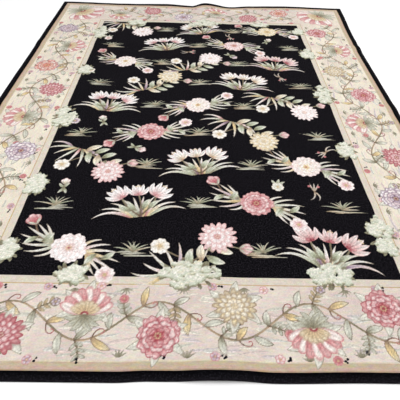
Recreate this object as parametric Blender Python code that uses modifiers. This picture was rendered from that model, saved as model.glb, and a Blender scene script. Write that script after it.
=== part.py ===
"""Needlepoint rug, 9 x 12 ft: a worked wool panel with a black band sewn round it.

The rug lies on a floor. X runs across it, +Y along it to the far end, +Z up, and the origin is
on the floor under its middle. It has been folded for storage, so it keeps soft fold ridges, and
its sides wander a little from straight.
"""

import math
from collections import namedtuple

import bpy

# Driving sizes, in metres
RUG_WIDTH = 2.743
RUG_LENGTH = 3.658
PANEL_THICK = 0.004
BAND_WIDE = 0.040
BAND_THICK = 0.005
SEAM = 0.0003

# The worked design, measured in from the rug's outer edge to the dark field
SIDE_BORDER = 0.480
END_BORDER = 0.454
OUTER_GUARD = 0.034
INNER_GUARD = 0.042

HALF_X = RUG_WIDTH / 2
HALF_Y = RUG_LENGTH / 2
PANEL_X = HALF_X - BAND_WIDE
PANEL_Y = HALF_Y - BAND_WIDE
FIELD_X = HALF_X - SIDE_BORDER
FIELD_Y = HALF_Y - END_BORDER
MITRE_BACK = SEAM / math.sqrt(2)

# A fold ridge: where it lies, the reach of its two slopes, and its height at the start of its
# run, along its middle and at its end, with the distance over which the ends die away
Ridge = namedtuple("Ridge", "place before after start middle end fade")
LENGTH_FOLDS = (
    Ridge(0.05, 0.13, 0.23, 0.013, 0.004, 0.025, 0.38),
)
CROSS_FOLDS = (
    Ridge(-0.92, 0.07, 0.07, 0.003, 0.002, 0.005, 0.40),
    Ridge(0.00, 0.08, 0.08, 0.003, 0.003, 0.004, 0.50),
    Ridge(0.92, 0.09, 0.08, 0.004, 0.003, 0.011, 0.55),
)

# How far each side wanders from straight: place runs from -1 to 1 along the side, and the
# shifts, in metres along +X or +Y, are those of the outer edge and of the dark field's edge
Wander = namedtuple("Wander", "place outer field")
LEFT_SIDE = (
    Wander(-1.0, -0.004, -0.009),
    Wander(0.0, 0.002, 0.006),
    Wander(0.5, 0.013, 0.013),
    Wander(1.0, 0.024, 0.020),
)
RIGHT_SIDE = (
    Wander(-1.0, 0.004, 0.030),
    Wander(0.0, -0.009, 0.017),
    Wander(0.44, -0.009, 0.011),
    Wander(0.50, -0.011, 0.009),
    Wander(0.60, -0.001, 0.008),
    Wander(1.0, 0.034, 0.004),
)
NEAR_END = (
    Wander(-1.0, -0.004, -0.006),
    Wander(-0.5, -0.009, -0.009),
    Wander(-0.22, -0.009, -0.009),
    Wander(-0.13, -0.003, -0.007),
    Wander(0.12, -0.001, -0.008),
    Wander(0.21, -0.006, -0.006),
    Wander(0.45, -0.001, -0.006),
    Wander(1.0, -0.005, -0.006),
)
FAR_END = (
    Wander(-1.0, -0.005, -0.018),
    Wander(-0.58, -0.030, -0.012),
    Wander(-0.24, -0.038, -0.005),
    Wander(-0.06, -0.055, -0.012),
    Wander(0.06, -0.060, -0.014),
    Wander(0.22, -0.054, -0.013),
    Wander(0.37, -0.026, -0.008),
    Wander(0.65, -0.011, -0.010),
    Wander(1.0, -0.032, -0.010),
)

# How high the far end's outer edge tilts up; the tilt starts where the outer guard does
Curl = namedtuple("Curl", "place height")
CURL_REACH = BAND_WIDE + OUTER_GUARD
FAR_CURL = (
    Curl(-1.0, 0.0),
    Curl(-0.50, 0.002),
    Curl(-0.24, 0.010),
    Curl(-0.05, 0.003),
    Curl(0.06, 0.010),
    Curl(0.24, 0.0),
    Curl(0.48, 0.004),
    Curl(1.0, 0.002),
)

# The origin is the middle of the rug as it lies, so the middle of its sides' widest shifts
MIDDLE_X = (min(row.outer for row in LEFT_SIDE) + max(row.outer for row in RIGHT_SIDE)) / 2
MIDDLE_Y = (min(row.outer for row in NEAR_END) + max(row.outer for row in FAR_END)) / 2

# Spans of the grid from one side of the panel to the other, finer over the fold ridges
Span = namedtuple("Span", "start end cells")
FOLD_LEFT = LENGTH_FOLDS[0].place - LENGTH_FOLDS[0].before
FOLD_RIGHT = LENGTH_FOLDS[0].place + LENGTH_FOLDS[0].after
CREASES = [(fold.place - fold.before, fold.place + fold.after) for fold in CROSS_FOLDS]
X_SPANS = (
    Span(-PANEL_X, -PANEL_X + OUTER_GUARD, 1),
    Span(-PANEL_X + OUTER_GUARD, -FIELD_X - INNER_GUARD, 3),
    Span(-FIELD_X - INNER_GUARD, -FIELD_X, 1),
    Span(-FIELD_X, FOLD_LEFT, 6),
    Span(FOLD_LEFT, FOLD_RIGHT, 10),
    Span(FOLD_RIGHT, FIELD_X, 5),
    Span(FIELD_X, FIELD_X + INNER_GUARD, 1),
    Span(FIELD_X + INNER_GUARD, PANEL_X - OUTER_GUARD, 3),
    Span(PANEL_X - OUTER_GUARD, PANEL_X, 1),
)
Y_SPANS = (
    Span(-PANEL_Y, -PANEL_Y + OUTER_GUARD, 1),
    Span(-PANEL_Y + OUTER_GUARD, -FIELD_Y - INNER_GUARD, 3),
    Span(-FIELD_Y - INNER_GUARD, -FIELD_Y, 1),
    Span(-FIELD_Y, CREASES[0][0], 3),
    Span(CREASES[0][0], CREASES[0][1], 4),
    Span(CREASES[0][1], CREASES[1][0], 5),
    Span(CREASES[1][0], CREASES[1][1], 4),
    Span(CREASES[1][1], CREASES[2][0], 5),
    Span(CREASES[2][0], CREASES[2][1], 4),
    Span(CREASES[2][1], FIELD_Y, 3),
    Span(FIELD_Y, FIELD_Y + INNER_GUARD, 1),
    Span(FIELD_Y + INNER_GUARD, PANEL_Y - OUTER_GUARD, 3),
    Span(PANEL_Y - OUTER_GUARD, PANEL_Y, 1),
)

WOOLS = {
    "ivory_wool": (0.76, 0.65, 0.53),
    "black_wool": (0.008, 0.008, 0.012),
    "tan_wool": (0.66, 0.48, 0.30),
    "cream_wool": (0.79, 0.69, 0.50),
}
WOOL_ROUGHNESS = 0.92


def clear_scene():
    for old in list(bpy.data.objects):
        bpy.data.objects.remove(old, do_unlink=True)


def make_wool(name, colour):
    wool = bpy.data.materials.new(name)
    wool.use_nodes = True
    shader = wool.node_tree.nodes["Principled BSDF"]
    shader.inputs["Base Color"].default_value = (*colour, 1.0)
    shader.inputs["Roughness"].default_value = WOOL_ROUGHNESS
    shader.inputs["Metallic"].default_value = 0.0
    return wool


def bell(off, before, after):
    """A soft hump, 1 at its top and 0 from the reach of each slope on."""
    share = off / (before if off < 0 else after)
    return (1 - share * share) ** 2 if abs(share) < 1 else 0.0


def ridge_height(ridge, along, across, half):
    from_start = math.exp(-(along + half) / ridge.fade)
    from_end = math.exp(-(half - along) / ridge.fade)
    top = (
        ridge.middle
        + (ridge.start - ridge.middle) * from_start
        + (ridge.end - ridge.middle) * from_end
    )
    return top * bell(across - ridge.place, ridge.before, ridge.after)


def eased_row(table, place):
    """A table's values at a place, eased from one row to the next; its places come first."""
    place = max(table[0].place, min(table[-1].place, place))
    for low, high in zip(table, table[1:]):
        if place <= high.place:
            share = (place - low.place) / (high.place - low.place)
            ease = share * share * (3 - 2 * share)
            return [a + (b - a) * ease for a, b in zip(low[1:], high[1:])]


def lift(x, y):
    """Height of the rug's underside over the floor."""
    lengthwise = [ridge_height(ridge, y, x, HALF_Y) for ridge in LENGTH_FOLDS]
    crosswise = [ridge_height(ridge, x, y, HALF_X) for ridge in CROSS_FOLDS]
    (edge_height,) = eased_row(FAR_CURL, x / HALF_X)
    curl = edge_height * max(0.0, 1 - (HALF_Y - y) / CURL_REACH)
    return max(0.0, *lengthwise, *crosswise) + curl


def shift_across(at, half, field, low_side, high_side, place):
    """Shift of a point at `at` between two sides: none in the middle, a side's own at its edge."""
    outer, inner = eased_row(low_side if at < 0 else high_side, place)
    off = abs(at)
    if off <= field:
        return inner * off / field
    return inner + (outer - inner) * (off - field) / (half - field)


def lie(x, y):
    """Where a point of the straight, flat rug lies on the floor."""
    dx = shift_across(x, HALF_X, FIELD_X, LEFT_SIDE, RIGHT_SIDE, y / HALF_Y)
    dy = shift_across(y, HALF_Y, FIELD_Y, NEAR_END, FAR_END, x / HALF_X)
    return x + dx - MIDDLE_X, y + dy - MIDDLE_Y, lift(x, y)


def stations(spans):
    places = [spans[0].start]
    for span in spans:
        step = (span.end - span.start) / span.cells
        places += [span.start + step * (cell + 1) for cell in range(span.cells)]
    return places


def lay_cloth(name, columns, rows, flat_point, thick, collection):
    """A sheet of cloth: a grid whose column and row go through flat_point to the straight rug."""
    bpy.ops.mesh.primitive_grid_add(x_subdivisions=columns, y_subdivisions=rows, size=2)
    cloth = bpy.context.object
    cloth.name = cloth.data.name = name
    for point in cloth.data.vertices:
        column = round((point.co.x + 1) / 2 * columns)
        row = round((point.co.y + 1) / 2 * rows)
        point.co = lie(*flat_point(column, row))
    body = cloth.modifiers.new("thickness", "SOLIDIFY")
    body.thickness = thick
    body.offset = 1.0
    for home in list(cloth.users_collection):
        home.objects.unlink(cloth)
    collection.objects.link(cloth)
    return cloth


def wool_zone(x, y):
    """Material slot of a panel face, in the order of WOOLS."""
    if abs(x) < FIELD_X and abs(y) < FIELD_Y:
        return 1
    if abs(x) > PANEL_X - OUTER_GUARD or abs(y) > PANEL_Y - OUTER_GUARD:
        return 2
    if abs(x) < FIELD_X + INNER_GUARD and abs(y) < FIELD_Y + INNER_GUARD:
        return 3
    return 0


def make_panel(collection, wools):
    xs, ys = stations(X_SPANS), stations(Y_SPANS)
    panel = lay_cloth(
        "needlepoint_panel",
        len(xs) - 1,
        len(ys) - 1,
        lambda column, row: (xs[column], ys[row]),
        PANEL_THICK,
        collection,
    )
    for wool in wools.values():
        panel.data.materials.append(wool)
    # Faces are still in the grid's order, row by row
    for face in panel.data.polygons:
        row, column = divmod(face.index, len(xs) - 1)
        middle_x = (xs[column] + xs[column + 1]) / 2
        middle_y = (ys[row] + ys[row + 1]) / 2
        face.material_index = wool_zone(middle_x, middle_y)


def make_band(name, side, spans, across, along, wool, collection):
    """A strip of the black band: side -1 or 1 of the middle, mitred at both its corners."""
    places = stations(spans)
    last = len(places) - 1

    def flat_point(column, row):
        # Row 0 is the strip's edge at lower X or Y, so it is the outer edge where side is -1
        outer = row == (0 if side < 0 else 1)
        if outer:
            off = side * across
        else:
            off = side * (across - BAND_WIDE + SEAM)
        end = along - MITRE_BACK if outer else along - BAND_WIDE + SEAM - MITRE_BACK
        run = -end if column == 0 else end if column == last else places[column]
        return run, off

    turned = "left" in name or "right" in name
    if turned:
        strip = lay_cloth(
            name, 1, last, lambda column, row: flat_point(row, column)[::-1], BAND_THICK, collection
        )
    else:
        strip = lay_cloth(name, last, 1, flat_point, BAND_THICK, collection)
    strip.data.materials.append(wool)


def make_rug():
    clear_scene()
    rug = bpy.data.collections.new("needlepoint_rug")
    bpy.context.scene.collection.children.link(rug)
    wools = {name: make_wool(name, colour) for name, colour in WOOLS.items()}
    make_panel(rug, wools)
    black = wools["black_wool"]
    make_band("binding_near", -1, X_SPANS, HALF_Y, HALF_X, black, rug)
    make_band("binding_far", 1, X_SPANS, HALF_Y, HALF_X, black, rug)
    make_band("binding_left", -1, Y_SPANS, HALF_X, HALF_Y, black, rug)
    make_band("binding_right", 1, Y_SPANS, HALF_X, HALF_Y, black, rug)


make_rug()
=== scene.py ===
import math

import bpy
import numpy as np
from mathutils import Matrix, Vector


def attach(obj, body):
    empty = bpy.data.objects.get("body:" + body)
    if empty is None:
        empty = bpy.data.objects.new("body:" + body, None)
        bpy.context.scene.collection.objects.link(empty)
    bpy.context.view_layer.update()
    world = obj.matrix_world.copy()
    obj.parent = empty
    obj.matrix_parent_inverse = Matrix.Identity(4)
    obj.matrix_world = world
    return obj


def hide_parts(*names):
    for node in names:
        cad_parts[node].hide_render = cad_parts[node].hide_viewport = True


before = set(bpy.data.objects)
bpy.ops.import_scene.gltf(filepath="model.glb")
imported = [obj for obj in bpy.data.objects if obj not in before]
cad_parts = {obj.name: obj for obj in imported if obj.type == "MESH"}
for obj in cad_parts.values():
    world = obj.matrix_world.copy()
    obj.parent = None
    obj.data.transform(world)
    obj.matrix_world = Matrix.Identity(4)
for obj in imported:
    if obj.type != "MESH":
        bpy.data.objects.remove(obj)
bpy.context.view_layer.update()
print("rug frame loaded:", ", ".join(sorted(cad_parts)))

# The rug's sizes in metres, as the solids have them
rug = {
    "halfX": 2.743 / 2,
    "halfY": 3.658 / 2,
    "panelThick": 0.004,
    "bandWide": 0.040,
    "bandThick": 0.005,
    "seam": 0.0003,
    "sideBorder": 0.480,
    "endBorder": 0.454,
    "outerGuard": 0.034,
    "innerGuard": 0.042,
}
panelX = rug["halfX"] - rug["bandWide"]
panelY = rug["halfY"] - rug["bandWide"]
fieldX = rug["halfX"] - rug["sideBorder"]
fieldY = rug["halfY"] - rug["endBorder"]

# Fold ridges: place, reach before and after it, height at start, middle and end, how fast ends fade
lengthFolds = [(0.05, 0.13, 0.23, 0.013, 0.004, 0.025, 0.38)]
crossFolds = [
    (-0.92, 0.07, 0.07, 0.003, 0.002, 0.005, 0.40),
    (0.00, 0.08, 0.08, 0.003, 0.003, 0.004, 0.50),
    (0.92, 0.09, 0.08, 0.004, 0.003, 0.011, 0.55),
]

# Wandering sides: rows of place along the side, outer edge's shift, field edge's shift, in metres
leftSide = [(-1.0, -0.004, -0.009), (0.0, 0.002, 0.006), (0.5, 0.013, 0.013), (1.0, 0.024, 0.020)]
rightSide = [
    (-1.0, 0.004, 0.030), (0.0, -0.009, 0.017), (0.44, -0.009, 0.011),
    (0.50, -0.011, 0.009), (0.60, -0.001, 0.008), (1.0, 0.034, 0.004),
]
nearEnd = [
    (-1.0, -0.004, -0.006), (-0.5, -0.009, -0.009), (-0.22, -0.009, -0.009), (-0.13, -0.003, -0.007),
    (0.12, -0.001, -0.008), (0.21, -0.006, -0.006), (0.45, -0.001, -0.006), (1.0, -0.005, -0.006),
]
farEnd = [
    (-1.0, -0.005, -0.018), (-0.58, -0.030, -0.012), (-0.24, -0.038, -0.005), (-0.06, -0.055, -0.012),
    (0.06, -0.060, -0.014), (0.22, -0.054, -0.013), (0.37, -0.026, -0.008), (0.65, -0.011, -0.010),
    (1.0, -0.032, -0.010),
]
# How high the far edge tilts up along the far end
farCurl = [
    (-1.0, 0.0), (-0.50, 0.002), (-0.24, 0.010), (-0.05, 0.003),
    (0.06, 0.010), (0.24, 0.0), (0.48, 0.004), (1.0, 0.002),
]
middleX = (min(row[1] for row in leftSide) + max(row[1] for row in rightSide)) / 2
middleY = (min(row[1] for row in nearEnd) + max(row[1] for row in farEnd)) / 2

# Small soft waves where the band draws the cloth in, none at the middle of the rug
bandWaves = {"height": 0.0016, "reach": 0.34, "alongX": 23.0, "alongY": 19.0}


def foldHeight(fold, along, across, half):
    place, before, after, start, middle, end, fade = fold
    fromStart = np.exp(-(along + half) / fade)
    fromEnd = np.exp(-(half - along) / fade)
    top = middle + (start - middle) * fromStart + (end - middle) * fromEnd
    off = across - place
    share = np.clip(np.abs(off) / np.where(off < 0, before, after), 0, 1)
    return top * (1 - share * share) ** 2


def easedRow(side, place, column):
    # The same easing from row to row as the solids use
    places = np.array([row[0] for row in side])
    shifts = np.array([row[column] for row in side])
    at = np.clip(place, -1, 1)
    low = np.clip(np.searchsorted(places, at, side="left") - 1, 0, len(side) - 2)
    share = (at - places[low]) / (places[low + 1] - places[low])
    ease = share * share * (3 - 2 * share)
    return shifts[low] + (shifts[low + 1] - shifts[low]) * ease


def pucker(x, y):
    off = np.maximum(np.abs(x) - rug["halfX"], np.abs(y) - rug["halfY"])
    near = np.clip(1 + off / bandWaves["reach"], 0, 1)
    waveX = np.sin(bandWaves["alongX"] * x + 5.0 * np.sin(4.1 * y))
    waveY = np.sin(bandWaves["alongY"] * y + 4.0 * np.sin(3.3 * x))
    return bandWaves["height"] * near * near * (0.5 + 0.5 * waveX * waveY)


def liftOf(x, y):
    lift = np.zeros_like(x)
    for fold in lengthFolds:
        lift = np.maximum(lift, foldHeight(fold, y, x, rug["halfY"]))
    for fold in crossFolds:
        lift = np.maximum(lift, foldHeight(fold, x, y, rug["halfX"]))
    reach = rug["bandWide"] + rug["outerGuard"]
    tilt = easedRow(farCurl, x / rug["halfX"], 1) * np.clip(1 - (rug["halfY"] - y) / reach, 0, None)
    return lift + tilt + pucker(x, y)


def shiftAcross(at, half, field, lowSide, highSide, place):
    outer = np.where(at < 0, easedRow(lowSide, place, 1), easedRow(highSide, place, 1))
    inner = np.where(at < 0, easedRow(lowSide, place, 2), easedRow(highSide, place, 2))
    off = np.abs(at)
    past = inner + (outer - inner) * (off - field) / (half - field)
    return np.where(off <= field, inner * off / field, past)


def layOnFloor(flat):
    # From the straight flat rug, heights over its underside, to the rug as it lies
    x, y = flat[:, 0], flat[:, 1]
    lain = flat.copy()
    lain[:, 0] += shiftAcross(x, rug["halfX"], fieldX, leftSide, rightSide, y / rug["halfY"]) - middleX
    lain[:, 1] += shiftAcross(y, rug["halfY"], fieldY, nearEnd, farEnd, x / rug["halfX"]) - middleY
    lain[:, 2] += liftOf(x, y)
    return lain


# The worked chart: one colour and one distance to a motif's edge for each point of the cloth
chart = {"columns": 576, "rows": 768, "tiles": 6, "cuts": 8, "fleck": 0.05, "astray": 0.09, "seed": 11}
stitchX = 2 * panelX / chart["columns"]
stitchY = 2 * panelY / chart["rows"]
stitch = (stitchX + stitchY) / 2
chartX = np.linspace(-panelX, panelX, chart["columns"] + 1)
chartY = np.linspace(-panelY, panelY, chart["rows"] + 1)
toneMap = np.full((len(chartY), len(chartX), 3), 200.0)
edgeMap = np.full((len(chartY), len(chartX)), -1.0)
chance = np.random.default_rng(chart["seed"])

# Dyed wools, as screen colours from 0 to 255
wools = {
    "white": (245, 242, 240), "cream": (237, 231, 221), "straw": (229, 220, 197), "gold": (206, 182, 145),
    "honey": (226, 202, 150), "tan": (182, 156, 130), "umber": (154.7, 132.6, 110.5), "bark": (106, 86, 72),
    "blush": (235, 217, 214), "pink": (222, 190, 186), "rose": (196, 126, 128), "crimson": (154, 66, 76),
    "coral": (212, 136, 116), "mauve": (198, 180, 192), "plum": (114, 86, 106), "ink": (24, 22, 28),
    "mint": (221, 220, 207), "reed": (209, 213, 196), "moss": (172, 177, 150), "sage": (189, 187, 169),
    "olive": (130, 123, 101), "reedHaze": (216, 213, 200), "roseHaze": (218, 206, 206),
    "peachHaze": (224, 206, 199), "greyHaze": (216, 214, 207), "strawHaze": (232, 225, 211),
}
wools = {name: np.array(colour, float) for name, colour in wools.items()}

# How wide and how strong the outlines are: fine on the field, bolder on the pale border
fieldOutline = {"line": 0.0020, "petal": 0.0028, "strength": 0.55}
borderOutline = {"line": 0.0034, "petal": 0.0046, "strength": 0.85}
outline = dict(fieldOutline)


def jitter(reach, shape=None):
    return chance.uniform(-reach, reach, shape)


def pick(sets, number):
    return sets[number % len(sets)]


def mixTones(low, high, share):
    return low + (high - low) * np.clip(share, 0, 1)[..., None]


def steppedTones(names, share, steps=5):
    # Shades change in steps from wool to wool, with a few stitches astray
    share = np.rint((share + jitter(chart["astray"], share.shape)) * steps) / steps
    tones = np.array([wools[name] for name in names.split()])
    stops = np.linspace(0, 1, len(tones))
    return np.stack([np.interp(share, stops, tones[:, c]) for c in range(3)], axis=-1)


def windowAt(x0, y0, x1, y1):
    reach = 3 * stitch
    c0, c1 = np.searchsorted(chartX, (x0 - reach, x1 + reach))
    r0, r1 = np.searchsorted(chartY, (y0 - reach, y1 + reach))
    return slice(r0, r1), slice(c0, c1)


def gridRound(x, y, reach):
    # The chart's rows and columns round a point, and how far each stitch is from it
    rows, columns = windowAt(x - reach, y - reach, x + reach, y + reach)
    return rows, columns, *np.meshgrid(chartX[columns] - x, chartY[rows] - y)


def workWool(rows, columns, inside, tone):
    # Lays one shape over what is there; a ring past its edge takes its colour too, so that the
    # edge itself can be drawn sharper than the chart
    edge = edgeMap[rows, columns]
    over = np.clip(inside / stitch + 0.5, 0, 1)
    fresh = (edge < 0) & (inside > edge) & (inside > -2.5 * stitch)
    over = np.where(fresh, 1.0, over)[..., None]
    toneMap[rows, columns] += (tone - toneMap[rows, columns]) * over
    edgeMap[rows, columns] = np.maximum(edge, inside)


def ringPoint(x, y, at, reachX, reachY=None):
    return x + reachX * math.cos(at), y + (reachX if reachY is None else reachY) * math.sin(at)


def curve(start, bend, end, steps):
    t = np.linspace(0, 1, steps)[:, None]
    start, bend, end = (np.array(p, float) for p in (start, bend, end))
    return (1 - t) ** 2 * start + 2 * t * (1 - t) * bend + t * t * end


def bowed(x, y, turn, length, share, bend, steps):
    # A line that sets off along turn and bows aside by bend, most at a share of its length
    ux, uy = math.cos(turn), math.sin(turn)
    side = (x + share * length * ux - bend * uy, y + share * length * uy + bend * ux)
    return curve((x, y), side, (x + length * ux, y + length * uy), steps)


def workRibbon(line, halfWidths, tones, vein=0.0, rim=None):
    # A strip of varying width along a line; tones run from its foot to its tip
    line = np.asarray(line, float)
    widest = float(np.max(halfWidths))
    low, high = line.min(0) - widest, line.max(0) + widest
    rows, columns = windowAt(*low, *high)
    gridX, gridY = np.meshgrid(chartX[columns], chartY[rows])
    if gridX.size == 0:
        return
    best = np.full(gridX.shape, 9.0)
    along = np.zeros(gridX.shape)
    side = np.zeros(gridX.shape)
    lengths = np.hypot(*np.diff(line, axis=0).T)
    ends = np.concatenate([[0], np.cumsum(lengths)]) / max(lengths.sum(), 1e-9)
    for k in range(len(line) - 1):
        (ax, ay), (bx, by) = line[k], line[k + 1]
        dx, dy = bx - ax, by - ay
        t = np.clip(((gridX - ax) * dx + (gridY - ay) * dy) / max(dx * dx + dy * dy, 1e-12), 0, 1)
        px, py = gridX - ax - t * dx, gridY - ay - t * dy
        far = np.hypot(px, py)
        nearer = far < best
        best = np.where(nearer, far, best)
        along = np.where(nearer, ends[k] + t * (ends[k + 1] - ends[k]), along)
        side = np.where(nearer, np.sign(dx * py - dy * px), side)
    wide = np.interp(along, np.linspace(0, 1, len(halfWidths)), halfWidths)
    inside = wide - best
    tone = steppedTones(tones, along, 7)
    shade = side * best / np.maximum(wide, 1e-6)
    tone = tone * (1 - 0.07 * np.clip(shade, -1, 1))[..., None]
    if vein:
        tone = mixTones(tone, tone * (1 - vein), 1.6 - best / (0.5 * stitch))
    if rim is not None:
        rimShare = np.clip(1.25 - inside / outline["line"], 0, 1) * outline["strength"]
        tone = mixTones(tone, wools[rim], rimShare)
    workWool(rows, columns, inside, tone)


def workPetal(x, y, turn, length, width, tones, rim, notch=0.0, streaks=0.08):
    # A rounded petal from its foot at x, y; tones run from foot to tip
    rows, columns, gridX, gridY = gridRound(x, y, max(length, width))
    if gridX.size == 0:
        return
    along = gridX * math.cos(turn) + gridY * math.sin(turn)
    across = -gridX * math.sin(turn) + gridY * math.cos(turn)
    a, b = length / 2, width / 2
    t = along / length
    bulge = b * (0.62 + 0.58 * np.clip(t, 0, 1))
    tip = a * (1 - notch * np.cos(np.clip(across / b, -1, 1) * math.pi * 2))
    reachOut = np.hypot((along - a) / np.where(along > a, tip, a), across / bulge)
    inside = (1 - reachOut) * min(a, b)
    tone = steppedTones(tones, t)
    streak = np.sin(across / b * 9 + 1.3) * np.clip(1.2 - t, 0, 1)
    tone = tone * (1 - streaks * streak)[..., None]
    rimShare = np.clip(1.2 - inside / outline["petal"], 0, 1) * outline["strength"]
    workWool(rows, columns, inside, mixTones(tone, wools[rim], rimShare))


def workDot(x, y, radius, tone):
    rows, columns, gridX, gridY = gridRound(x, y, radius)
    if gridX.size:
        workWool(rows, columns, radius - np.hypot(gridX, gridY), wools[tone])


def workDotRing(x, y, turn, count, reach, radius, tone):
    for k in range(count):
        workDot(*ringPoint(x, y, turn + math.tau * k / count, reach), radius, tone)


def workStem(start, bend, end, steps, widths, tones="bark olive"):
    workRibbon(curve(start, bend, end, steps), widths, tones)


def workLeaf(x, y, turn, length, bend, halfWidth, tones, rim="olive", vein=0.12):
    shape = np.sin(np.linspace(0.06, 1, 12) * math.pi) ** 0.75
    shape[-1] = 0.05
    workRibbon(bowed(x, y, turn, length, 0.5, bend, 9), halfWidth * shape, tones, vein, rim)


def workBlade(x, y, turn, length, bend, halfWidth, tones, rim):
    # A long arching blade, widest a third of the way up and drawn out to a point
    t = np.linspace(0, 1, 14)
    shape = np.minimum(1, 0.35 + 2.6 * t) * (1 - t) ** 0.65
    shape[-1] = 0.04
    workRibbon(bowed(x, y, turn, length, 0.55, bend, 12), halfWidth * shape, tones, 0.10, rim)


# Full flowers: rings of petals from outside in, as count, reach and width in radii
peony = {
    "rings": [(8, 1.00, 0.80), (7, 0.80, 0.68), (6, 0.60, 0.54), (5, 0.40, 0.40)],
    "sway": 0.14, "lengths": (0.91, 1.05), "hearts": 2, "notch": 0.09, "streaks": 0.10,
}
daisy = {
    "rings": [(17, 1.0, 0.30), (13, 0.76, 0.30), (9, 0.50, 0.30)],
    "sway": 0.06, "lengths": (0.92, 1.06), "hearts": 1, "notch": 0.0, "streaks": 0.0,
}


def workFlower(flower, x, y, radius, turn, warm, heart, rim):
    for ring, (count, reach, wide) in enumerate(flower["rings"]):
        warmPair = [pick(warm.split(), ring + k) for k in (0, 1)]
        tones = " ".join([heart] * flower["hearts"] + warmPair)
        for k in range(count):
            at = turn + math.tau * (k + 0.5 * (ring % 2)) / count
            at += jitter(flower["sway"])
            length = radius * reach * chance.uniform(*flower["lengths"])
            workPetal(x, y, at, length, radius * wide, tones, rim, flower["notch"], flower["streaks"])
    if flower is peony:
        workDotRing(x, y, turn, 7, 0.12 * radius, 0.0040, "gold")
        workDot(x, y, 0.0050, "crimson")
    else:
        workDot(x, y, radius * 0.16, heart)
        workDotRing(x, y, turn, 5, 0.09 * radius, 0.0036, "straw")


def workLily(x, y, length, turn, tones, rim):
    # A trumpet seen from the side: outer petals curl away, the middle ones lie over them
    petals = ((-44, 0.92, -0.30), (44, 0.92, 0.30), (-20, 1.0, -0.12), (20, 1.0, 0.12), (0, 0.96, 0.0))
    for degrees, share, bend in petals:
        at = turn + math.radians(degrees)
        workLeaf(x, y, at, length * share, bend * length, length * 0.155, tones, rim, vein=0.16)
    for degrees in (-9, 0, 9):
        workDot(*ringPoint(x, y, turn + math.radians(degrees), length * 0.78), 0.0042, "gold")


def workBlossom(x, y, radius, turn, tones, rim):
    # A small open flower of five petals
    for k in range(5):
        at = turn + math.tau * k / 5
        workPetal(x, y, at, radius, radius * 1.05, tones, rim, notch=0.10, streaks=0.04)
    workDot(x, y, 0.22 * radius, "gold")


def workBud(x, y, turn, length, tones, rim):
    for off in (-0.42, 0.42, 0.0):
        workPetal(x, y, turn + off, length * (1 if off == 0 else 0.86), length * 0.55, tones, rim)
    for off in (-0.75, 0.75):
        workLeaf(x, y, turn + off, length * 0.62, 0, length * 0.10, "sage mint")


def placer(x, y, turn, flip, size):
    # Places and headings of a spray from its own middle; flip turns it upside down
    c, s = math.cos(turn), math.sin(turn)

    def place(u, v):
        u, v = u * size, v * size * flip
        return x + c * u - s * v, y + s * u + c * v

    def heading(degrees):
        return turn + flip * math.radians(degrees)

    return place, heading


# Flowering sprays on the dark field, in staggered rows; a flower's wools are petals, heart and rim
spray = {
    "rows": 9, "pitchY": 0.306, "pitchX": 0.600, "size": 0.90, "tilt": 20,
    "blades": 7, "bladeHalf": 0.0112, "clear": 0.074, "fillerX": 0.083, "fillerY": 0.058,
}
warmSets = [
    ("blush white white", "pink", "pink"),
    ("honey straw cream", "gold", "tan"),
    ("pink blush white", "rose", "rose"),
    ("white blush cream", "honey", "pink"),
    ("rose pink blush", "crimson", "crimson"),
]
bladeSets = [
    "moss reed cream white", "gold honey cream white", "moss reed white reed", "rose blush white white",
    "olive reed white cream", "honey straw white white", "plum mauve blush white",
]
leafTones = "olive moss reed cream"
paleLeaf = "olive sage mint cream"


def workBladeFan(place, heading, end, kind, flip):
    # Arching blades that open from one end of the stem; end is -1 or 1
    count = spray["blades"]
    for k in range(count):
        share = k / (count - 1)
        root = place(end * (0.050 + 0.05 * share), end * (0.006 - 0.020 * share))
        at = heading((0 if end > 0 else 180) - 58 + 96 * share)
        tones = pick(bladeSets, kind + (k % 3) * 2 + (end > 0))
        long = spray["size"] * (0.150 + 0.062 * math.sin(share * math.pi) + chance.uniform(-0.010, 0.012))
        bend = flip * (-0.046 + 0.062 * share)
        workBlade(*root, at, long, bend, spray["bladeHalf"], tones, "tan")


def workPeonySpray(x, y, turn, flip, kind):
    place, heading = placer(x, y, turn, flip, spray["size"])
    lower = curve(place(-0.265, -0.050), place(-0.12, 0.085), place(0.0, 0.0), 9)
    upper = curve(place(0.0, 0.0), place(0.12, -0.085), place(0.265, 0.050), 9)
    workRibbon(np.vstack([lower, upper[1:]]), [0.0046, 0.0050, 0.0046], "bark olive bark")
    for end in (-1, 1):
        workBladeFan(place, heading, end, kind, flip)
    for u, v, degrees in ((-0.19, 0.018, 118), (-0.15, 0.03, -78), (0.19, -0.018, -62), (0.15, -0.03, 102)):
        workLeaf(*place(u, v), heading(degrees), 0.070, 0.010 * flip, 0.0150, leafTones)
    workBud(*place(-0.258, -0.048), heading(208), 0.078, "crimson rose blush", "crimson")
    workBlossom(*place(0.262, 0.052), 0.044, heading(20), "rose blush white", "pink")
    workFlower(peony, *place(0, 0), 0.088, heading(kind * 17), *pick(warmSets, kind))


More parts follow.
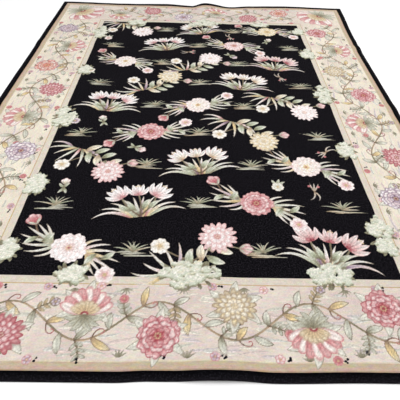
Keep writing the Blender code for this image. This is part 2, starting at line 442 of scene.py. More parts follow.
def workDaisySpray(x, y, turn, flip, kind):
    place, heading = placer(x, y, turn, flip, spray["size"])
    workStem(place(-0.26, -0.085), place(-0.02, -0.10), place(0.13, 0.045), 14, [0.0056, 0.0046])
    workStem(place(-0.04, -0.062), place(-0.13, 0.0), place(-0.175, 0.075), 9, [0.0042, 0.0038])
    for k in range(8):
        share = k / 7
        root = place(-0.205 + 0.10 * share, -0.092)
        long = spray["size"] * (0.155 + 0.03 * (k % 2))
        workBlade(*root, heading(180 - 150 * share), long, flip * (0.05 - 0.10 * share),
                  spray["bladeHalf"], pick(bladeSets, kind + k), "tan")
    for k in range(7):
        share = k / 6
        root = place(-0.10 + 0.20 * share, -0.088 + 0.075 * share ** 2)
        side = 1 if k % 2 else -1
        workLeaf(*root, heading(side * 58 + 14), 0.100 - 0.02 * share, 0.014 * side * flip, 0.0200,
                 leafTones if k % 3 else "tan straw cream")
    workBlossom(*place(-0.180, 0.085), 0.046, heading(60), "gold cream white", "tan")
    workBud(*place(0.205, -0.055), heading(-24), 0.066, "crimson pink blush", "crimson")
    workStem(place(0.10, -0.01), place(0.16, -0.02), place(0.205, -0.055), 7, [0.0038, 0.0036], "olive olive")
    workFlower(daisy, *place(0.125, 0.050), 0.094, heading(kind * 23), *pick(warmSets, kind + 1))


def workLilySpray(x, y, turn, flip, kind):
    place, heading = placer(x, y, turn, flip, spray["size"])
    for k in range(10):
        share = k / 9
        long = spray["size"] * (0.215 - 0.055 * math.sin(share * math.pi))
        workBlade(*place(-0.055 + 0.11 * share, -0.105), heading(176 - 172 * share), long,
                  flip * (-0.075 + 0.150 * share), 0.0122, pick(bladeSets, kind + k * 2), "tan")
    petals = pick(("rose blush white white", "gold cream white white", "crimson pink blush white"), kind)
    rim = "rose" if kind % 3 else "pink"
    heads = (-0.100, 0.060, -0.08, 128, 0.112), (0.105, 0.050, 0.09, 44, 0.118), (0.0, 0.072, 0.02, 88, 0.094)
    for u, v, bendU, degrees, long in heads:
        workStem(place(0.0, -0.10), place(bendU, -0.03), place(u, v), 9, [0.0050, 0.0040])
        workLily(*place(u * 0.92, v * 0.92), spray["size"] * long, heading(degrees), petals, rim)
    for u, degrees in ((-0.05, 140), (0.05, 40), (-0.02, 120), (0.02, 60)):
        workLeaf(*place(u, -0.055), heading(degrees), 0.078, 0.012 * flip, 0.0150, leafTones)


def workField():
    lesser = []
    kinds = (workPeonySpray, workDaisySpray, workLilySpray)
    for row in range(spray["rows"]):
        y = (row - (spray["rows"] - 1) / 2) * spray["pitchY"]
        count = 3 - row % 2
        for k in range(count):
            x = (k - (count - 1) / 2) * spray["pitchX"]
            flip = 1 if (row + k) % 2 else -1
            turn = math.radians(flip * spray["tilt"] + jitter(8))
            make = kinds[(row * 2 + k) % 3]
            if make is workLilySpray:
                turn, flip = turn * 0.5, 1
            px, py = x + jitter(0.012), y + jitter(0.010)
            make(px, py, turn, flip, row * 3 + k)
        if count == 2:
            lesser += [(-0.735, y), (0.735, y)]
        lesser += [((k - (count - 2) / 2) * spray["pitchX"], y + 0.02) for k in range(count - 1)]
    for k, (x, y) in enumerate(lesser):
        if isBare(x, y - 0.02, 0.035):
            workGroundSprig(x, y - 0.045, k)
    petalSets = ("rose blush white", "gold cream white", "plum mauve white", "sage mint white")
    placed = 0
    for y in np.arange(-fieldY + 0.09, fieldY - 0.08, spray["fillerY"]):
        for x in np.arange(-fieldX + 0.08, fieldX - 0.07, spray["fillerX"]):
            px, py = x + jitter(0.03), y + jitter(0.02)
            if isBare(px, py, spray["clear"]):
                placed += 1
                workSmallFlower(px, py, placed, pick(petalSets, placed))


def isBare(x, y, reach):
    rows = slice(*np.searchsorted(chartY, (y - reach, y + reach)))
    columns = slice(*np.searchsorted(chartX, (x - reach, x + reach)))
    return edgeMap[rows, columns].max() < 0


def workSmallFlower(x, y, kind, petals):
    # An open flower, a bud or a pair of narrow leaves with berries, in any direction
    turn = chance.uniform(0, math.tau)

    def ahead(reach):
        return ringPoint(x, y, turn, reach)

    if kind % 3 == 0:
        for off in (-2.5, 2.2, 2.9):
            workLeaf(x, y, turn + off, 0.052, 0.005, 0.0085, leafTones)
        workBlossom(*ahead(0.012), 0.033, turn, petals, "tan")
    elif kind % 3 == 1:
        workStem(ahead(-0.045), (x, y + 0.012), ahead(0.02), 7, [0.0034, 0.0030])
        for off in (-0.6, 0.7, 2.6, -2.7):
            workLeaf(*ahead(-0.018), turn + off, 0.048, 0.004, 0.0080, leafTones)
        workBud(*ahead(0.008), turn, 0.050, petals, "rose")
    else:
        for off in (-0.35, 0.0, 0.35, 2.8, 3.4):
            workBlade(x, y, turn + off, 0.075, 0.010 * off, 0.0062, "tan cream white", "bark")
        for off in (-0.5, 0.6):
            workDot(*ringPoint(x, y, turn + off, 0.046), 0.0080, "rose")


def workGroundSprig(x, y, kind):
    # A low tuft of thin leaves over a few flat pale strokes
    pale = pick(("sage mint cream", "tan straw cream"), kind)
    for k in range(3):
        wide = 0.140 - 0.030 * k
        px = x + jitter(0.035) - wide / 2
        turn = jitter(0.06)
        workBlade(px, y - 0.014 + 0.0100 * k, turn, wide * 1.25, 0.006, 0.0062, pale, "olive")
    for k in range(8):
        share = k / 7
        turn = math.radians(14 + 152 * share + jitter(6))
        long = 0.058 + 0.050 * abs(2 * share - 1) ** 1.5 + chance.uniform(-0.008, 0.012)
        tones = leafTones if (k + kind) % 3 else "tan straw cream"
        bend = 0.014 if share < 0.5 else -0.014
        workBlade(x, y + 0.010, turn, long, bend, 0.0056, tones, "olive")


def workPuff(x, y, radius, tones, turn):
    # One scalloped leaf cluster, lit from above
    rows, columns, gridX, gridY = gridRound(x, y, radius)
    if gridX.size:
        scallop = 1 + 0.14 * np.cos(5 * np.arctan2(gridY, gridX) + turn)
        inside = radius * scallop - np.hypot(gridX, gridY)
        workWool(rows, columns, inside, steppedTones(tones, 0.5 + 0.62 * gridY / radius, 4))


def workClump(x, y, reachX, reachY, count):
    # A cloud of pale scalloped leaves, with thin darker leaves and gaps round it
    def within(px, py, at, out):
        return ringPoint(px, py, at, out * reachX, out * reachY)

    for k in range(count):
        at = math.tau * k / count + jitter(0.3)
        turn = at + jitter(0.5)
        workLeaf(*within(x, y, at, 0.80), turn, 0.040, 0.006, 0.0085, "bark olive moss")
    lobes = [(x, y, 0.62)]
    for k in range(5):
        at = math.tau * (k + chance.uniform(0, 0.5)) / 5
        lobes.append((*within(x, y, at, chance.uniform(0.62, 0.92)), chance.uniform(0.28, 0.50)))
    places = []
    for px, py, size in lobes:
        for k in range(int(4.4 * count * size)):
            at, out = chance.uniform(0, math.tau), 1.1 * size * math.sqrt(chance.uniform(0, 1))
            places.append(within(px, py, at, out)[::-1])
    clouds = (
        "olive moss reed reed", "olive moss reed cream", "olive moss straw reed", "moss reed reed cream",
    )
    for k, (py, px) in enumerate(sorted(places, reverse=True)):
        workPuff(px, py, chance.uniform(0.0085, 0.0150), pick(clouds, k), chance.uniform(0, 6))


# The ivory border: a winding vine with large flowers, striped shells at the corners
borderSets = [
    ("rose pink blush", "crimson", "crimson"),
    ("honey straw cream", "gold", "umber"),
    ("coral blush straw", "coral", "crimson"),
    ("mauve white blush", "plum", "plum"),
    ("rose blush pink", "crimson", "crimson"),
]
border = {
    "middleX": (panelX - rug["outerGuard"] + fieldX + rug["innerGuard"]) / 2,
    "middleY": (panelY - rug["outerGuard"] + fieldY + rug["innerGuard"]) / 2,
    "swing": 0.085,
    "leafEvery": 0.062,
    "fillEvery": 0.115,
    "wisps": 520,
}
wispTones = ("reedHaze", "roseHaze", "peachHaze", "greyHaze", "strawHaze")
# Leaf clouds that spill over the inner guard on to the field: place along, reach along and across
endClouds = [(-0.66, 0.078, 0.045), (0.04, 0.130, 0.058), (0.62, 0.060, 0.040)]
sideClouds = [
    (-0.82, 0.105, 0.050), (-0.34, 0.065, 0.042), (0.12, 0.110, 0.056),
    (0.58, 0.072, 0.044), (0.90, 0.050, 0.040),
]


def workShell(x, y, turn, radius):
    # A fan of red and pink stripes with a scalloped top
    ribs = 9
    for k in range(ribs):
        at = turn + math.radians(-64 + 128 * k / (ribs - 1))
        tones = "crimson rose pink" if k % 2 else "pink blush cream"
        long = radius * (1 - 0.10 * abs(k - 4) / 4)
        workPetal(x, y, at, long, radius * 0.34, tones, "rose", streaks=0.14)
    for k in range(7):
        at = turn + math.radians(-60 + 120 * k / 6)
        workPetal(x, y, at, radius * 0.52, radius * 0.22, "tan gold straw", "tan")
    workDot(x, y, radius * 0.13, "crimson")
    workDot(x, y, radius * 0.07, "straw")
    for side in (-1, 1):
        for k in range(3):
            at = turn + side * math.radians(96 + 26 * k)
            workLeaf(x, y, at, radius * 0.62, side * 0.02, radius * 0.10, "olive sage mint")


def workWisps(count):
    # Short pale strokes that cloud the ivory ground; they run along each side
    insideX, insideY = fieldX + rug["innerGuard"] + 0.02, fieldY + rug["innerGuard"] + 0.02
    outX, outY = panelX - rug["outerGuard"] - 0.02, panelY - rug["outerGuard"] - 0.02
    for k in range(count):
        x, y = jitter(outX), jitter(outY)
        if abs(x) < insideX and abs(y) < insideY:
            if abs(x) / insideX > abs(y) / insideY:
                x = math.copysign(chance.uniform(insideX, outX), x)
            else:
                y = math.copysign(chance.uniform(insideY, outY), y)
        upright = abs(x) > insideX and abs(y) < insideY
        turn = (math.pi / 2 if upright else 0) + jitter(0.22)
        long = chance.uniform(0.05, 0.13)
        workBlade(*ringPoint(x, y, turn, -0.5 * long), turn, long, jitter(0.012),
                  chance.uniform(0.0055, 0.0125), pick(wispTones, k), None)


def workTendril(x, y, turn, size, way):
    # A thin curl that winds in on itself
    t = np.linspace(0, 1, 16)
    angle = turn + way * 5.2 * t * t
    step = size / 15 * (1 - 0.55 * t)
    line = np.stack([x + np.cumsum(step * np.cos(angle)), y + np.cumsum(step * np.sin(angle))], axis=1)
    workRibbon(line, [0.0028, 0.0024], "bark rose")


def workBerries(x, y):
    # Three dark berries close together
    for k in range(3):
        at = chance.uniform(0, math.tau)
        workDot(*ringPoint(x, y, at, 0.007), chance.uniform(0.0040, 0.0060), "ink")


def workTwig(x, y, turn, kind):
    # A short twig with paired leaves and berries or a small flower at its end
    tones = (paleLeaf, "tan gold straw", "sage mint sage")[kind]
    line = bowed(x, y, turn, 0.085, 0.045 / 0.085, 0.012, 8)
    workRibbon(line, [0.0032, 0.0028], "bark olive")
    for k in (1, 3, 5):
        for degrees in (-50, 50):
            workLeaf(*line[k], turn + math.radians(degrees), 0.036, 0.0, 0.0078, tones)
    if kind == 2:
        workBerries(*line[-1])
    elif kind == 1:
        workBlossom(*line[-1], 0.021, turn, "plum mauve white", "bark")
    else:
        workBlossom(*line[-1], 0.021, turn, "crimson rose pink", "rose")


def workVine(start, end, waves, kind):
    # Along one side, from corner to corner
    (x0, y0), (x1, y1) = start, end
    length = math.hypot(x1 - x0, y1 - y0)
    ux, uy = (x1 - x0) / length, (y1 - y0) / length

    def away(s, off):
        return x0 + ux * s - uy * off, y0 + uy * s + ux * off

    def swingAt(s):
        return border["swing"] * math.sin(math.tau * waves * s / length)

    def onVine(s):
        return away(s, swingAt(s))

    steps = int(length / 0.03)
    line = np.array([onVine(length * k / steps) for k in range(steps + 1)])
    for k in range(0, steps, 8):
        workRibbon(line[k:k + 9], [0.0042, 0.0046, 0.0042], "tan olive tan")
    leafSets = ("sage mint sage", paleLeaf, "tan honey straw")
    count = int(length / border["leafEvery"])
    for k in range(1, count):
        s = length * k / count
        (ax, ay), (bx, by) = onVine(s - 0.01), onVine(s + 0.01)
        ahead = math.atan2(by - ay, bx - ax)
        side = 1 if k % 2 else -1
        workLeaf(*onVine(s), ahead + side * math.radians(52), 0.082 + chance.uniform(-0.012, 0.016),
                 side * 0.012, 0.0165, pick(leafSets, k), "bark")
        if k % 3 == 1:
            workTwig(*onVine(s), ahead - side * math.radians(64), (k // 3 + kind) % 3)
        elif k % 3 == 2:
            workTendril(*onVine(s), ahead - side * math.radians(48), 0.120, side)
    # Small things that fill the ground on both sides of the vine
    petalSets = ("crimson rose pink", "plum mauve white", "rose blush white")
    for k in range(int(length / border["fillEvery"])):
        s = border["fillEvery"] * (k + 0.5)
        for off in (-0.155, 0.155):
            if abs(swingAt(s) - off) <= 0.10:
                continue
            px, py = away(s + jitter(0.02), off + jitter(0.008))
            if k % 2:
                for j in range(5):
                    at = math.atan2(uy, ux) + math.radians(30 + 30 * j) + (math.pi if off > 0 else 0)
                    workBlade(px, py, at, 0.040, 0.004, 0.0046, paleLeaf, "olive")
            else:
                workBlossom(px, py, 0.020, chance.uniform(0, 6), pick(petalSets, k // 2), "rose")
                workBerries(px + 0.033 * ux, py + 0.033 * uy)
    # A large flower in each bend
    for k in range(2 * waves):
        s = length * (k + 0.5) / (2 * waves)
        lean = 0.78 if k % 2 else -0.78
        px, py = away(s, border["swing"] * lean)
        for j in range(6):
            workLeaf(px, py, math.tau * j / 6 + 0.4, 0.128, 0.014, 0.0215, paleLeaf)
        if (k + kind) % 3 == 1:
            outwards = math.atan2(ux, -uy) if lean > 0 else math.atan2(-ux, uy)
            workShell(*away(s, border["swing"] * lean * 0.35), outwards, 0.135)
        else:
            flower = peony if (k + kind) % 3 else daisy
            workFlower(flower, px, py, 0.090, 0.3 * k, *pick(borderSets, k * 2 + kind))


def workBorder():
    workWisps(border["wisps"])
    bx, by = border["middleX"], border["middleY"]
    gap = 0.20
    workVine((-bx + gap, -by), (bx - gap, -by), 3, 0)
    workVine((bx, -by + gap), (bx, by - gap), 4, 1)
    workVine((bx - gap, by), (-bx + gap, by), 3, 2)
    workVine((-bx, by - gap), (-bx, -by + gap), 4, 3)
    for sx, sy in ((-1, -1), (1, -1), (1, 1), (-1, 1)):
        workShell(sx * (bx + 0.03), sy * (by + 0.03), math.atan2(-sy, -sx), 0.235)
    for share, wide, deep in endClouds:
        for side in (-1, 1):
            workClump(side * share * fieldX, side * (fieldY - 0.012), wide, deep, int(9 + 60 * wide))
    for share, wide, deep in sideClouds:
        for side in (-1, 1):
            workClump(side * (fieldX - 0.012), side * share * fieldY, deep, wide, int(9 + 60 * wide))


workField()
print("field sprays worked")
outline.update(borderOutline)
workBorder()
print("border worked")
edgeMap = np.maximum(edgeMap, -0.02)
toneMap = np.clip(toneMap * (1 + chance.normal(0, chart["fleck"], toneMap.shape[:2]))[..., None], 0, 255)
slopeY, slopeX = (np.clip(part, -1, 1) for part in np.gradient(edgeMap, stitchY, stitchX))


def woolColour(screen):
    share = np.asarray(screen, float) / 255
    return np.where(share <= 0.04045, share / 12.92, ((share + 0.055) / 1.055) ** 2.4)


# Cloth pieces
def inEditMode(operator, **settings):
    bpy.ops.object.mode_set(mode="EDIT")
    operator(**settings)
    bpy.ops.object.mode_set(mode="OBJECT")


def fillLayer(layer, key, values):
    layer.data.foreach_set(key, values.astype(np.float32).ravel())


def readPoints(mesh):
    flat = np.empty(len(mesh.vertices) * 3, np.float32)
    mesh.vertices.foreach_get("co", flat)
    return flat.reshape(-1, 3).astype(float)


def writePoints(mesh, points):
    mesh.vertices.foreach_set("co", points.astype(np.float32).ravel())
    mesh.update()


def smoothMesh(mesh, degrees):
    for face in mesh.polygons:
        face.use_smooth = True
    mesh.set_sharp_from_angle(angle=math.radians(degrees))


def addMap(mesh, flat):
    # The straight rug's own x and y, in metres, for the stitches
    corners = np.empty(len(mesh.loops), np.int32)
    mesh.loops.foreach_get("vertex_index", corners)
    layer = mesh.uv_layers.new(name="stitches")
    layer.uv.foreach_set("vector", flat[corners][:, :2].astype(np.float32).ravel())


def flatSheet(name, x0, x1, y0, y1, columns, rows, thick, cuts):
    # A flat closed sheet with a fine upper side and a coarse underside
    bpy.ops.mesh.primitive_grid_add(x_subdivisions=columns, y_subdivisions=rows, size=1,
                                    location=((x0 + x1) / 2, (y0 + y1) / 2, 0))
    sheet = bpy.context.object
    sheet.name = sheet.data.name = name
    sheet.scale = (x1 - x0, y1 - y0, 1)
    bpy.ops.object.transform_apply(location=True, rotation=False, scale=True)
    body = sheet.modifiers.new("thickness", "SOLIDIFY")
    body.thickness, body.offset = thick, 1
    bpy.ops.object.modifier_apply(modifier=body.name)
    bpy.ops.object.mode_set(mode="EDIT")
    bpy.ops.mesh.select_mode(type="FACE")
    bpy.ops.mesh.select_all(action="DESELECT")
    bpy.ops.object.mode_set(mode="OBJECT")
    for face in sheet.data.polygons:
        face.select = face.normal.z > 0.5
    inEditMode(bpy.ops.mesh.subdivide, number_cuts=cuts - 1)
    return sheet


def makeTile(number):
    coarseRows = chart["rows"] // chart["cuts"] // chart["tiles"]
    rowsIn = coarseRows * chart["cuts"]
    first = number * rowsIn
    tile = flatSheet(f"worked_cloth_{number + 1}", -panelX, panelX, chartY[first], chartY[first + rowsIn],
                     chart["columns"] // chart["cuts"], coarseRows, rug["panelThick"], chart["cuts"])
    mesh = tile.data
    flat = readPoints(mesh)
    column = np.clip(np.rint((flat[:, 0] + panelX) / stitchX).astype(int), 0, chart["columns"])
    row = np.clip(np.rint((flat[:, 1] + panelY) / stitchY).astype(int), 0, chart["rows"])
    addMap(mesh, flat)
    colours = np.ones((len(flat), 4))
    colours[:, :3] = woolColour(toneMap[row, column])
    slopes = np.zeros((len(flat), 3))
    slopes[:, 0], slopes[:, 1] = slopeX[row, column], slopeY[row, column]
    fillLayer(mesh.color_attributes.new("wool", "FLOAT_COLOR", "POINT"), "color", colours)
    fillLayer(mesh.attributes.new("motifEdge", "FLOAT", "POINT"), "value", edgeMap[row, column])
    fillLayer(mesh.attributes.new("edgeSlope", "FLOAT_VECTOR", "POINT"), "vector", slopes)
    writePoints(mesh, layOnFloor(flat))
    smoothMesh(mesh, 40)
    return tile


bandMesh = {
    "columnLong": 0.028, "rows": 2, "cuts": 4, "edgeDrop": 0.0016, "sewnDrop": 0.0018, "rounded": 0.10,
}


def makeBand(name, horizontal, side):
    # A mitred strip of the black band
    long, off = (rug["halfX"], rug["halfY"]) if horizontal else (rug["halfY"], rug["halfX"])
    columns = int(2 * long / bandMesh["columnLong"])
    strip = flatSheet(name, -long, long, 0, 1, columns, bandMesh["rows"], rug["bandThick"], bandMesh["cuts"])
    mesh = strip.data
    flat = readPoints(mesh)
    share = flat[:, 1]
    inner = rug["bandWide"] - rug["seam"]
    depth = inner * (share if side < 0 else 1 - share)
    run = flat[:, 0] / long * (long - rug["seam"] / math.sqrt(2) - depth)
    place = side * (off - depth)
    # A turned outer edge and a sewn inner edge, both rounded down
    across = depth / inner
    drop = bandMesh["edgeDrop"] * np.clip(1 - across / bandMesh["rounded"], 0, 1) ** 2
    drop += bandMesh["sewnDrop"] * np.clip(1 - (1 - across) / bandMesh["rounded"], 0, 1) ** 2
    height = flat[:, 2] - np.where(flat[:, 2] > rug["bandThick"] / 2, drop, 0)
    straight = np.stack([run, place, height] if horizontal else [place, run, height], axis=1)
    addMap(mesh, np.stack([flat[:, 0], depth], axis=1))
    writePoints(mesh, layOnFloor(straight))
    if not horizontal:
        bpy.ops.object.select_all(action="DESELECT")
        strip.select_set(True)
        bpy.context.view_layer.objects.active = strip
        inEditMode(bpy.ops.mesh.select_all, action="SELECT")
        inEditMode(bpy.ops.mesh.flip_normals)
    smoothMesh(mesh, 50)
    return strip


bpy.ops.object.select_all(action="DESELECT")
tiles = [makeTile(number) for number in range(chart["tiles"])]
print("cloth tiles made:", len(tiles))
bands = {
    "binding_near": makeBand("black_band_near", True, -1),
    "binding_far": makeBand("black_band_far", True, 1),
    "binding_left": makeBand("black_band_left", False, -1),
    "binding_right": makeBand("black_band_right", False, 1),
}
print("bands made:", len(bands))

# Materials: the grounds as screen colours, the guards from the outer edge inwards
grounds = {
    "peachDeep": (182, 157, 134), "peach": (198, 174, 155), "tan": (194, 177, 151),
    "guardLine": (218, 205, 182), "line": (196, 170, 134), "cream": (216, 206, 191),
    "ivoryLow": (214, 198, 189), "ivoryHigh": (227, 215, 203),
    "sideLow": (222, 210, 195), "sideHigh": (236, 227, 209),
    "field": (1, 1, 3), "fieldWorn": (54, 50, 57),
    "bandInner": (1, 1, 3), "bandOuter": (16, 14, 18), "bandSpeck": (60, 57, 66),
}
# The look includes painted shade: each stitch is painted darker between stitches and lighter on its crown
clothLook = {
    "roughness": 0.92, "pitch": 0.0026, "slant": 0.8, "bump": 0.00045, "bumpStrength": 0.8,
    "fleck": 0.22, "between": 0.86, "stitchShade": 0.24, "wear": 0.16, "wearScale": 30.0,
    "streak": 0.13, "streakLong": 0.34, "streakScale": 105.0, "patchScale": 5.0, "speckScale": 165.0,
}
bandLook = {"roughness": 0.95, "bump": 0.0005, "bumpStrength": 0.9, "speckScale": 170.0}


def groundOf(name):
    return tuple(woolColour(grounds[name]))


def newWool(name, roughness):
    wool = bpy.data.materials.new(name)
    wool.use_nodes = True
    shader = wool.node_tree.nodes["Principled BSDF"]
    shader.inputs["Roughness"].default_value = roughness
    shader.inputs["Specular IOR Level"].default_value = 0.05
    return wool, wool.node_tree, shader


def feed(tree, socket, value):
    # A socket takes another node's output, a number or a colour
    if hasattr(value, "links"):
        tree.links.new(value, socket)
    elif value is not None:
        socket.default_value = value if np.isscalar(value) else (*value, 1.0)


def calc(tree, operation, first, second=None, third=None, clamp=False):
    node = tree.nodes.new("ShaderNodeMath")
    node.operation, node.use_clamp = operation, clamp
    for socket, value in zip(node.inputs, (first, second, third)):
        feed(tree, socket, value)
    return node.outputs[0]


def mix(tree, share, low, high, blend="MIX"):
    node = tree.nodes.new("ShaderNodeMix")
    node.data_type, node.blend_type = "RGBA", blend
    for number, value in ((0, share), (6, low), (7, high)):
        feed(tree, node.inputs[number], value)
    return node.outputs[2]


def join(tree, *values):
    node = tree.nodes.new("ShaderNodeCombineXYZ")
    for socket, value in zip(node.inputs, values):
        feed(tree, socket, value)
    return node.outputs[0]


def split(tree, vector):
    node = tree.nodes.new("ShaderNodeSeparateXYZ")
    tree.links.new(vector, node.inputs[0])
    return node.outputs[0], node.outputs[1]


def spread(tree, value, low, high):
    span = tree.nodes.new("ShaderNodeMapRange")
    tree.links.new(value, span.inputs["Value"])
    span.inputs["From Min"].default_value, span.inputs["From Max"].default_value = low, high
    return span.outputs[0]


def noiseOf(tree, place, scale, detail, output="Fac"):
    drift = tree.nodes.new("ShaderNodeTexNoise")
    drift.inputs["Scale"].default_value = scale
    drift.inputs["Detail"].default_value = detail
    tree.links.new(place, drift.inputs["Vector"])
    return drift.outputs[output]


def attributeOf(tree, name, output):
    node = tree.nodes.new("ShaderNodeAttribute")
    node.attribute_name = name
    return node.outputs[output]


def finishWool(tree, shader, colour, height, look):
    tree.links.new(colour, shader.inputs["Base Color"])
    bump = tree.nodes.new("ShaderNodeBump")
    bump.inputs["Distance"].default_value = look["bump"]
    bump.inputs["Strength"].default_value = look["bumpStrength"]
    tree.links.new(height, bump.inputs["Height"])
    tree.links.new(bump.outputs[0], shader.inputs["Normal"])


def stitchAxis(tree, value, pitch):
    # Along one axis: which stitch, where in it from -0.5 to 0.5, and the stitch's middle in metres
    whole = calc(tree, "FLOOR", value)
    part = calc(tree, "SUBTRACT", calc(tree, "SUBTRACT", value, whole), 0.5)
    return whole, part, calc(tree, "MULTIPLY", calc(tree, "ADD", whole, 0.5), pitch)


def domed(tree, part, power):
    return calc(tree, "POWER", calc(tree, "ABSOLUTE", calc(tree, "MULTIPLY", part, 2)), power)


def stitchNodes(tree):
    # Rows of slanted tent stitches: each one's middle and a point's way to it, its height for the bump
    # and for the painted shade between stitches, and a random number of its own
    pitch = clothLook["pitch"]
    place = tree.nodes.new("ShaderNodeUVMap")
    place.uv_map = "stitches"
    x, y = split(tree, place.outputs[0])
    wholeV, partV, middleV = stitchAxis(tree, calc(tree, "DIVIDE", y, pitch), pitch)
    slant = calc(tree, "MULTIPLY", partV, clothLook["slant"])
    slanted = calc(tree, "SUBTRACT", calc(tree, "DIVIDE", x, pitch), slant)
    wholeU, partU, middleU = stitchAxis(tree, slanted, pitch)
    hollow = calc(tree, "ADD", domed(tree, partU, 2), domed(tree, partV, 4))
    fleck = tree.nodes.new("ShaderNodeTexWhiteNoise")
    fleck.noise_dimensions = "2D"
    tree.links.new(join(tree, wholeU, wholeV), fleck.inputs["Vector"])
    return {
        "u": middleU, "v": middleV, "place": place.outputs[0], "fleck": fleck.outputs["Value"],
        "offU": calc(tree, "SUBTRACT", middleU, x), "offV": calc(tree, "SUBTRACT", middleV, y),
        "height": calc(tree, "SUBTRACT", 1, hollow, clamp=True),
    }


def makeClothWool():
    wool, tree, shader = newWool("needlepoint_wool", clothLook["roughness"])
    cell = stitchNodes(tree)
    absX = calc(tree, "ABSOLUTE", cell["u"])
    absY = calc(tree, "ABSOLUTE", cell["v"])

    def outside(halfX, halfY):
        pastX, pastY = calc(tree, "SUBTRACT", absX, halfX), calc(tree, "SUBTRACT", absY, halfY)
        return calc(tree, "GREATER_THAN", calc(tree, "MAXIMUM", pastX, pastY), 0)

    def blend(first, firstShare, second, secondShare):
        first, second = calc(tree, "MULTIPLY", first, firstShare), calc(tree, "MULTIPLY", second, secondShare)
        return calc(tree, "ADD", first, second)

    # Rows of wool run along each side, so its uneven dye shows as long streaks
    fromSide = calc(tree, "SUBTRACT", absX, panelX)
    fromEnd = calc(tree, "SUBTRACT", absY, panelY)
    upright = calc(tree, "GREATER_THAN", fromSide, fromEnd)
    level = calc(tree, "SUBTRACT", 1, upright)
    along = blend(cell["u"], level, cell["v"], upright)
    across = blend(cell["v"], level, cell["u"], upright)
    rows = join(tree, calc(tree, "MULTIPLY", along, clothLook["streakLong"]), across)
    streak = noiseOf(tree, rows, clothLook["streakScale"], 4.0, "Color")
    # The ivory, a little paler along the sides than at the ends
    patches = spread(tree, noiseOf(tree, cell["place"], clothLook["patchScale"], 4.0), 0.34, 0.66)
    ends = mix(tree, patches, groundOf("ivoryLow"), groundOf("ivoryHigh"))
    sides = mix(tree, patches, groundOf("sideLow"), groundOf("sideHigh"))
    toSide = calc(tree, "SUBTRACT", fromSide, fromEnd)
    ivory = mix(tree, spread(tree, toSide, -0.25, 0.35), ends, sides)
    # Each ground lies over the last from its own edge outwards: colour, how far in, the edge
    pale = groundOf("cream")
    guardEdge = (fieldX + rug["innerGuard"], fieldY + rug["innerGuard"])
    panelEdge = (panelX, panelY)
    outer = rug["outerGuard"]
    for colour, inset, (halfX, halfY) in (
        (groundOf("line"), 0.0055, guardEdge), (ivory, 0, guardEdge),
        (groundOf("guardLine"), outer + 0.006, panelEdge), (groundOf("tan"), outer, panelEdge),
        (groundOf("peach"), 0.55 * outer, panelEdge), (groundOf("peachDeep"), 0.005, panelEdge),
    ):
        pale = mix(tree, outside(halfX - inset, halfY - inset), pale, colour)
    pale = mix(tree, clothLook["streak"], pale, streak, "LINEAR_LIGHT")
    specks = spread(tree, noiseOf(tree, cell["place"], clothLook["speckScale"], 3.0), 0.46, 0.82)
    dark = mix(tree, specks, groundOf("field"), groundOf("fieldWorn"))
    ground = mix(tree, outside(fieldX, fieldY), dark, pale)
    # The edge's distance at the stitch's middle, so that a whole stitch takes one colour
    slopeU, slopeV = split(tree, attributeOf(tree, "edgeSlope", "Vector"))
    toMiddle = blend(slopeU, cell["offU"], slopeV, cell["offV"])
    edge = calc(tree, "ADD", attributeOf(tree, "motifEdge", "Fac"), toMiddle)
    onMotif = calc(tree, "GREATER_THAN", edge, 0)
    colour = mix(tree, onMotif, ground, attributeOf(tree, "wool", "Color"))
    # Each stitch a little lighter or darker at random, with painted shade between stitches and a painted
    # lighter crown on each stitch, and slow patches of wear
    fleck, wear = clothLook["fleck"], clothLook["wear"]
    light = calc(tree, "MULTIPLY_ADD", cell["fleck"], fleck, 1 - fleck / 2)
    stitchShade = calc(tree, "MULTIPLY_ADD", cell["height"], clothLook["stitchShade"], clothLook["between"])
    worn = noiseOf(tree, cell["place"], clothLook["wearScale"], 3.0)
    worn = calc(tree, "MULTIPLY_ADD", worn, wear, 1 - wear / 2)
    shade = calc(tree, "MULTIPLY", calc(tree, "MULTIPLY", light, stitchShade), worn)
    colour = mix(tree, 1.0, colour, join(tree, shade, shade, shade), "MULTIPLY")
    finishWool(tree, shader, colour, cell["height"], clothLook)
    return wool


def makeBandWool():
    wool, tree, shader = newWool("black_band_wool", bandLook["roughness"])
    cell = stitchNodes(tree)
    # Blackest at the seam, rubbed towards the outer edge
    black = mix(tree, spread(tree, cell["v"], 0.030, 0.002), groundOf("bandInner"), groundOf("bandOuter"))
    specks = spread(tree, noiseOf(tree, cell["place"], bandLook["speckScale"], 3.0), 0.50, 0.80)
    rubbed = calc(tree, "MULTIPLY", specks, spread(tree, cell["v"], 0.045, 0.0))
    colour = mix(tree, rubbed, black, groundOf("bandSpeck"))
    finishWool(tree, shader, colour, cell["height"], bandLook)
    return wool


clothWool = makeClothWool()
bandWool = makeBandWool()
for tile in tiles:
    tile.data.materials.append(clothWool)
    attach(tile, "root")
    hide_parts("needlepoint_panel")
for node, strip in bands.items():
    strip.data.materials.append(bandWool)
    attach(strip, "root")
    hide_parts(node)
print("wool dyed and pieces placed")

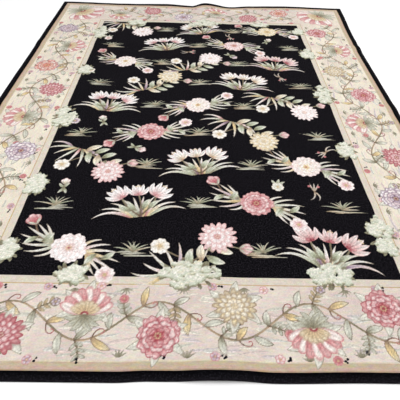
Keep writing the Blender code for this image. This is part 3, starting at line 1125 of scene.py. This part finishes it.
# Floor, light and camera: each lamp's place and its share of the power
studio = {"floorSize": 24.0, "lampPower": 172.0, "lampSize": 5.0, "sky": 0.50}
lamps = {
    "lamp_left": ((-3.5, -2.0, 4.5), 1.04),
    "lamp_right": ((3.5, 0.5, 4.5), 1.05),
    "lamp_far": ((0.0, 5.0, 4.5), 0.10),
}
bpy.ops.mesh.primitive_plane_add(size=studio["floorSize"], location=(0, 2, -0.0005))
floor = bpy.context.object
floor.name = floor.data.name = "floor"
floorPaint, tree, shader = newWool("floor_paint", 0.9)
shader.inputs["Base Color"].default_value = (1, 1, 1, 1)
floor.data.materials.append(floorPaint)

for name, (place, power) in lamps.items():
    bpy.ops.object.light_add(type="AREA", location=place)
    lamp = bpy.context.object
    lamp.name = name
    lamp.data.energy = studio["lampPower"] * power
    lamp.data.size = studio["lampSize"]
    lamp.rotation_euler = (-Vector(place)).to_track_quat("-Z", "Y").to_euler()

world = bpy.context.scene.world or bpy.data.worlds.new("studio")
bpy.context.scene.world = world
world.use_nodes = True
sky = world.node_tree.nodes["Background"]
sky.inputs["Color"].default_value = (1, 1, 1, 1)
sky.inputs["Strength"].default_value = studio["sky"]

view = {"x": -0.018, "y": -2.373, "height": 1.518, "yaw": 1.13, "pitch": 45.86, "roll": 1.8, "lens": 36.0}
yaw, pitch, roll = (math.radians(view[k]) for k in ("yaw", "pitch", "roll"))
ahead = Vector((math.sin(yaw) * math.cos(pitch), math.cos(yaw) * math.cos(pitch), -math.sin(pitch)))
right = Vector((math.cos(yaw), -math.sin(yaw), 0))
up = right.cross(ahead)
tiltRight = right * math.cos(roll) + up * math.sin(roll)
tiltUp = up * math.cos(roll) - right * math.sin(roll)
bpy.ops.object.camera_add()
camera = bpy.context.object
camera.name = "photo_view"
camera.data.lens = view["lens"]
camera.data.sensor_width = 36.0
turned = Matrix((tiltRight, tiltUp, -ahead)).transposed().to_4x4()
camera.matrix_world = Matrix.Translation((view["x"] - middleX, view["y"] - middleY, view["height"])) @ turned
bpy.context.scene.camera = camera
bpy.context.scene.view_settings.view_transform = "Standard"
print("floor, lamps and camera set")
